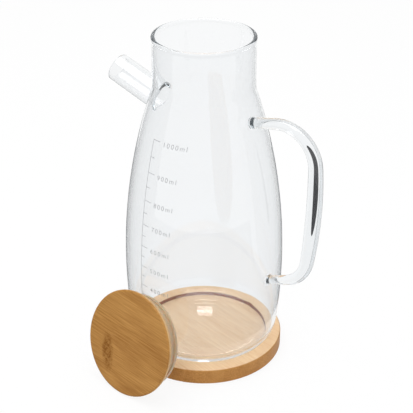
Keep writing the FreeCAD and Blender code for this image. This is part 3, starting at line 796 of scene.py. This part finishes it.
# ---------------------------------------------------------------------------------------- printed scale
SCALE_AZIMUTH = math.radians(-103.5)   # where the scale's upright line stands
SCALE_TOP, SCALE_STEP = 1000, 50       # millilitres
SCALE_FOOT, SCALE_EVEN = 100, 400      # lowest mark, and the one where the steps begin to widen
EVEN_HEIGHT, EVEN_RISE = 64.7, 0.138
NARROWING_RISE, NARROWING_POWER = 15.0, 3.4
PRINT_WIDTH, PRINT_DEPTH, PRINT_LIFT = 0.34, 0.04, 0.02
LONG_TICK, SHORT_TICK, LABEL_GAP = 5.6, 3.4, 2.4
LABEL_SIZE, LABEL_DROP, LABEL_SPACING, LABEL_THINNING = 4.4, 1.0, 1.35, -0.03
LABEL_SMOOTHNESS = 3
BAR_STEP = 1.5                         # length of a row of faces along a bar
DOUBLE = 1e-7                          # points of the print closer than this, in metres, are one
INK_TONES = (rgb(164, 166, 169), rgb(190, 192, 194))


def mark_height(millilitres):
    """Height of a mark: even steps up the belly, wider ones towards the narrower neck."""
    above = millilitres - SCALE_EVEN
    narrowing = max(0.0, above / (SCALE_TOP - SCALE_EVEN))
    return EVEN_HEIGHT + above * EVEN_RISE + NARROWING_RISE * narrowing ** NARROWING_POWER


def wrap(across, up, out):
    """Place on the outside of the glass, from the distance right of the scale's line."""
    radius = OUTSIDE.radius(up)
    angle = SCALE_AZIMUTH + across / radius
    radius += PRINT_LIFT + out
    return Vector((radius * math.cos(angle), radius * math.sin(angle), up)) * MM


def add_bar(mesh, left, right, low, high):
    """A thin printed bar, bent round the glass."""
    steps = max(1, round(max(right - left, high - low) / BAR_STEP))
    upright = high - low > right - left
    rings = []
    for step in range(steps + 1):
        share = step / steps
        if upright:
            height = low + (high - low) * share
            first, second = (left, height), (right, height)
        else:
            side = left + (right - left) * share
            first, second = (side, low), (side, high)
        corners = ((*first, 0), (*second, 0), (*second, PRINT_DEPTH), (*first, PRINT_DEPTH))
        rings.append([mesh.verts.new(wrap(*corner)) for corner in corners])
    for first, second in zip(rings, rings[1:]):
        bridge(mesh, first, second)
    mesh.faces.new(rings[0])
    mesh.faces.new(rings[-1])


def add_label(mesh, words, left, height):
    """Plain printed words, set beside a mark and bent round the glass."""
    letters = bpy.data.curves.new("letters", "FONT")
    letters.body = words
    letters.size = LABEL_SIZE
    letters.space_character = LABEL_SPACING
    letters.offset = LABEL_THINNING
    letters.align_y = "CENTER"
    letters.extrude = PRINT_DEPTH / 2
    letters.resolution_u = LABEL_SMOOTHNESS
    holder = link("letters", letters)
    shape = bpy.data.meshes.new_from_object(holder.evaluated_get(bpy.context.evaluated_depsgraph_get()))
    points = [mesh.verts.new(wrap(left + vertex.co.x, height + vertex.co.y, vertex.co.z + PRINT_DEPTH / 2))
              for vertex in shape.vertices]
    for polygon in shape.polygons:
        mesh.faces.new([points[index] for index in polygon.vertices])
    bpy.data.objects.remove(holder)
    bpy.data.curves.remove(letters)
    bpy.data.meshes.remove(shape)


def print_finish():
    """Matt grey ink, a little uneven."""
    finish = Finish("grey_ink", Roughness=0.6, IOR=1.45)
    finish.set("Base Color", finish.mix(finish.noise(finish.place(), scale=900.0), *INK_TONES))
    return finish.material


def make_scale():
    """The scale in millilitres: an upright line, a tick for each mark and a label at every second one."""
    mesh = bmesh.new()
    half = PRINT_WIDTH / 2
    add_bar(mesh, -half, half, mark_height(SCALE_FOOT), mark_height(SCALE_TOP) + half)
    for amount in range(SCALE_FOOT, SCALE_TOP + 1, SCALE_STEP):
        height = mark_height(amount)
        labelled = amount % (2 * SCALE_STEP) == 0
        tick = LONG_TICK if labelled else SHORT_TICK
        add_bar(mesh, half, tick, height - half, height + half)
        if labelled:
            add_label(mesh, f"{amount}ml", tick + LABEL_GAP, height - LABEL_DROP)
    bmesh.ops.remove_doubles(mesh, verts=mesh.verts, dist=DOUBLE)
    piece = link_mesh("printed_scale", mesh)
    give(piece, print_finish())
    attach(piece, "root")


# ---------------------------------------------------------------------------------------------- studio
# Places and sizes from here on are in metres.
FLOOR_HALF, FLOOR_DROP = 6.0, 0.0002   # half the floor's width, and its gap below the tray
FLOOR_COLOUR = (0.90, 0.90, 0.90, 1.0)
FLOOR_GLOW = 0.90                      # share of plain white where the floor is seen
WHITE, BLACK = (1.0, 1.0, 1.0, 1.0), (0.0, 0.0, 0.0, 1.0)
FILL = 0.60                            # strength of the white surroundings as soft light

# The cards stand by the direction from the camera across the set.
AHEAD = unit(math.radians(127), 0.0)
RIGHT = Vector((AHEAD.y, -AHEAD.x, 0))
SIDE_OUT, SIDE_TOP, SIDE_DEPTHS = 0.13, 0.30, (-0.06, 0.16)
LEFT_GREY, RIGHT_GREY = rgb(60, 62, 64), rgb(140, 141, 142)
RING_RADII, RING_HEIGHT, RING_STEPS, RING_GREY = (0.075, 0.42), 0.001, 64, rgb(110, 112, 114)
LEAF_PLACE, LEAF_BACK = Vector((0.0852, 0.0008, 0.1245)), 0.035
LEAF_WIDTH, LEAF_HEIGHT, LEAF_STEPS, LEAF_GREY = 0.014, 0.064, 32, rgb(60, 60, 62)

CAMERA_PLACE = (0.4069, -0.5400, 0.4634)
CAMERA_TURN = (math.radians(61.94), 0.0, math.radians(37.0))
LENS, SENSOR = 103.1, 36.0             # the camera's own millimetres
LENS_SHIFT = 0.006                     # to the side, as a share of the sensor's width


def link_flat(name, points, faces):
    """A new flat object in the scene, from its points and faces."""
    data = bpy.data.meshes.new(name)
    data.from_pydata(points, [], faces)
    return link(name, data)


def floor_finish():
    """Pale floor that shows as white and keeps a soft part of the shadows."""
    finish = Finish("studio_floor", Base_Color=FLOOR_COLOUR, Roughness=0.9, Specular_IOR_Level=0.1)
    white = finish.node("ShaderNodeEmission", inputs={"Color": WHITE, "Strength": 1.0})
    finish.show(finish.light_path("Camera", "Glossy", "Transmission") * FLOOR_GLOW, white)
    return finish.material


def make_floor():
    half = FLOOR_HALF
    corners = [(-half, -half, 0), (half, -half, 0), (half, half, 0), (-half, half, 0)]
    floor = link_flat("floor", corners, [(0, 1, 2, 3)])
    floor.location.z = -FLOOR_DROP
    give(floor, floor_finish())


def make_world():
    """White all round where it is seen, and a softer fill where it lights."""
    world = bpy.data.worlds.new("studio")
    bpy.context.scene.world = world
    world.use_nodes = True
    nodes = Nodes(world.node_tree)
    background = nodes.tree.nodes["Background"].inputs
    nodes.feed(background["Color"], WHITE)
    nodes.feed(background["Strength"], 1 - nodes.light_path("Diffuse") * (1 - FILL))


def card_finish(name, grey, one_sided):
    """A plain grey that no light changes, clear from behind where it is one-sided."""
    finish = Finish(name, Base_Color=BLACK, Roughness=1.0, Specular_IOR_Level=0.0)
    glow = finish.node("ShaderNodeEmission", inputs={"Color": grey})
    if one_sided:
        behind = finish.node("ShaderNodeNewGeometry", output="Backfacing")
        clear = finish.node("ShaderNodeBsdfTransparent")
        glow = finish.node("ShaderNodeMixShader", inputs={0: behind, 1: glow, 2: clear})
    finish.show(1.0, glow)
    return finish.material


def add_flag(name, points, faces, grey, one_sided=False):
    """A flat grey card that the camera, shadows and soft light don't see."""
    card = link_flat(name, points, faces)
    give(card, card_finish(name, grey, one_sided))
    card.visible_camera = card.visible_diffuse = card.visible_shadow = False
    return card


def add_side_flag(name, out, grey):
    """An upright card beside the set, which shows only as a reflection."""
    up = Vector((0, 0, SIDE_TOP))
    near, far = (RIGHT * out + AHEAD * depth for depth in SIDE_DEPTHS)
    card = add_flag(name, [near, far, far + up, near + up], [(0, 1, 2, 3)], grey)
    card.visible_transmission = False


def add_ring_flag():
    """A ring on the floor round the set, which shows only as a reflection."""
    points = [Vector((radius * math.cos(turn), radius * math.sin(turn), RING_HEIGHT))
              for radius in RING_RADII for turn in steps_round(RING_STEPS)]
    faces = []
    for step in range(RING_STEPS):
        after = (step + 1) % RING_STEPS
        faces.append((step, after, after + RING_STEPS, step + RING_STEPS))
    card = add_flag("ring_flag", points, faces, RING_GREY)
    card.visible_transmission = False


def add_leaf_flag():
    """A slim upright leaf behind the handle, which shows only through glass, from the camera's side."""
    middle = LEAF_PLACE + AHEAD * LEAF_BACK
    points = [middle - RIGHT * LEAF_WIDTH / 2 * math.sin(turn)
              + Vector((0, 0, LEAF_HEIGHT / 2 * math.cos(turn)))
              for turn in steps_round(LEAF_STEPS)]
    leaf = add_flag("leaf_flag", points, [tuple(range(LEAF_STEPS))], LEAF_GREY, one_sided=True)
    leaf.visible_glossy = False


def make_flags():
    add_side_flag("left_flag", -SIDE_OUT, LEFT_GREY)
    add_side_flag("right_flag", SIDE_OUT, RIGHT_GREY)
    add_ring_flag()
    add_leaf_flag()


def area_light(name, place, aim, size, power):
    """A square lamp at a place, turned to what it aims at."""
    lamp = bpy.data.lights.new(name, "AREA")
    lamp.shape = "RECTANGLE"
    lamp.size, lamp.size_y = size, size
    lamp.energy = power
    light = link(name, lamp)
    light.location = place
    light.rotation_euler = (Vector(aim) - Vector(place)).to_track_quat("-Z", "Y").to_euler()


def make_lights():
    area_light("overhead", place=(-0.1, -0.1, 1.3), aim=(0, 0, 0.1), size=1.2, power=12.0)
    area_light("sparkle", place=(-0.72, 0.96, 0.67), aim=(0, 0, 0.02), size=0.06, power=0.05)


def make_camera():
    lens = bpy.data.cameras.new("camera")
    lens.lens = LENS
    lens.sensor_width = SENSOR
    lens.shift_x = LENS_SHIFT
    camera = link("camera", lens)
    camera.location = CAMERA_PLACE
    camera.rotation_euler = CAMERA_TURN
    bpy.context.scene.camera = camera


dress_cad_nodes()
make_glass()
make_scale()
make_floor()
make_world()
make_flags()
make_lights()
make_camera()
bpy.context.scene.view_settings.view_transform = "Standard"
